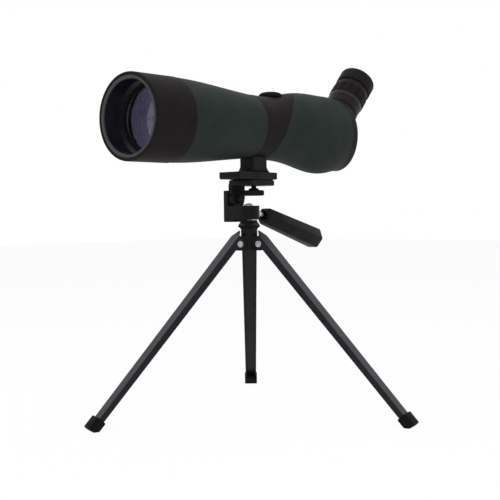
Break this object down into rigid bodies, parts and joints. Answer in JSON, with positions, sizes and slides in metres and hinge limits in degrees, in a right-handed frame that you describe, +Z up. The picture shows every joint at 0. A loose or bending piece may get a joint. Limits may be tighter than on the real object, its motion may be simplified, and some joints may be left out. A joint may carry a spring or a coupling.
{
  "type": "spotting scope on table tripod",
  "caption": "Angled zoom spotting scope in rubber armour, clamped on a folding three-legged table tripod with a pan and tilt head.",
  "frame": {"origin": "on the floor under the middle of the whole object's box", "axes": "+Z up, objective towards -Y, eyepiece up and towards +Y"},
  "size_m": [0.3064, 0.383, 0.3751],
  "materials": {
    "green_rubber": "matt dark green rubber armour",
    "black_rubber": "matt black rubber",
    "black_plastic": "black moulded plastic, satin",
    "black_anodised": "black anodised aluminium",
    "black_paint": "black gloss lacquer on pressed and cast metal",
    "steel": "bare bright steel",
    "chrome": "nickel plated",
    "brass": "turned brass",
    "coated_glass": "optical glass with a violet-blue coating"
  },
  "bodies": {
    "hub": {"leg_hub": "black_paint", "pan_screw": "chrome", "leg_1_rivet": "chrome", "leg_2_rivet": "chrome", "leg_3_rivet": "chrome"},
    "leg_1": {"leg_1": "black_paint", "leg_1_shoe": "black_rubber"},
    "leg_2": {"leg_2": "black_paint", "leg_2_shoe": "black_rubber"},
    "leg_3": {"leg_3": "black_paint", "leg_3_shoe": "black_rubber"},
    "pan_head": {"pan_bracket": "black_paint", "tilt_bolt": "steel", "tilt_nut": "chrome"},
    "handle": {"handle_rod": "steel", "handle_grip": "black_plastic"},
    "camera_screw": {"camera_screw": "black_paint"},
    "focus_knob": {"focus_knob": "black_rubber", "focus_shaft": "steel"},
    "focus_carriage": {"focus_carriage": "black_anodised", "focus_lens": "coated_glass"},
    "zoom_ring": {"zoom_ring": "black_rubber"},
    "zoom_cell": {"zoom_cell": "black_anodised", "zoom_lens": "coated_glass"},
    "tilt_head": {"tilt_bracket": "black_paint", "plate_pad": "black_rubber", "mounting_foot": "black_plastic", "tripod_bush": "brass", "foot_screws": "steel", "bell_armour": "black_rubber", "objective_cell": "black_anodised", "lens_retainer": "black_anodised", "objective_crown_lens": "coated_glass", "objective_flint_lens": "coated_glass", "lens_spacer": "black_anodised", "baffle_tube": "black_anodised", "front_barrel": "black_plastic", "front_armour": "green_rubber", "barrel_joint": "black_anodised", "saddle_band": "black_rubber", "prism_housing": "black_plastic", "rear_armour": "green_rubber", "rear_cover": "black_plastic", "cover_screws": "steel", "guide_rods": "steel", "guide_frame": "black_anodised", "roof_prism": "coated_glass", "prism_cradle": "black_plastic", "prism_clip": "steel", "eyepiece_collar": "black_anodised", "collar_set_screws": "chrome", "eyepiece_barrel": "black_anodised", "eyepiece_neck": "black_anodised", "eyecup": "black_rubber", "eye_lens": "coated_glass", "field_lens": "coated_glass", "eye_lens_ring": "black_anodised"}
  },
  "joints": [
    {"name": "leg_1_fold", "type": "hinge", "parent": "hub", "child": "leg_1", "pos_m": [-0.01068, -0.01303, 0.17538], "axis": [-0.213, 0.977, 0], "range_deg": [0, 40]},
    {"name": "leg_2_fold", "type": "hinge", "parent": "hub", "child": "leg_2", "pos_m": [-0.03625, -0.00487, 0.17538], "axis": [-0.7396, -0.673, 0], "range_deg": [0, 40]},
    {"name": "leg_3_fold", "type": "hinge", "parent": "hub", "child": "leg_3", "pos_m": [-0.03053, -0.0311, 0.17538], "axis": [0.9527, -0.304, 0], "range_deg": [0, 40]},
    {"name": "pan", "type": "hinge", "parent": "hub", "child": "pan_head", "pos_m": [-0.02582, -0.01633, 0.20018], "axis": [0, 0, 1], "continuous": true},
    {"name": "tilt", "type": "hinge", "parent": "pan_head", "child": "tilt_head", "pos_m": [-0.04302, -0.01633, 0.22178], "axis": [1, 0, 0], "range_deg": [-20, 60]},
    {"name": "handle_turn", "type": "hinge", "parent": "tilt_head", "child": "handle", "pos_m": [-0.04302, -0.01633, 0.21738], "axis": [0, 0.9563, -0.2924], "range_deg": [0, 360]},
    {"name": "camera_screw_turn", "type": "hinge", "parent": "tilt_head", "child": "camera_screw", "pos_m": [-0.02582, -0.00833, 0.23538], "axis": [0, 0, 1], "continuous": true},
    {"name": "focus_turn", "type": "hinge", "parent": "tilt_head", "child": "focus_knob", "pos_m": [-0.02582, 0.01967, 0.33478], "axis": [0, 0, 1], "range_deg": [-129, 129]},
    {"name": "focus_slide", "type": "slide", "parent": "tilt_head", "child": "focus_carriage", "axis": [0, 1, 0], "range_m": [-0.009, 0.009]},
    {"name": "zoom_turn", "type": "hinge", "parent": "tilt_head", "child": "zoom_ring", "pos_m": [-0.02582, 0.15246, 0.33483], "axis": [0, 0.6691, 0.7431], "range_deg": [0, 120]},
    {"name": "zoom_slide", "type": "slide", "parent": "tilt_head", "child": "zoom_cell", "axis": [0, 0.6691, 0.7431], "range_m": [-0.008, 0]}
  ],
  "couplings": [
    {"joint": "focus_turn", "follows": "focus_slide", "rad_per_m": 250},
    {"joint": "zoom_turn", "follows": "zoom_slide", "rad_per_m": -261.79}
  ]
}
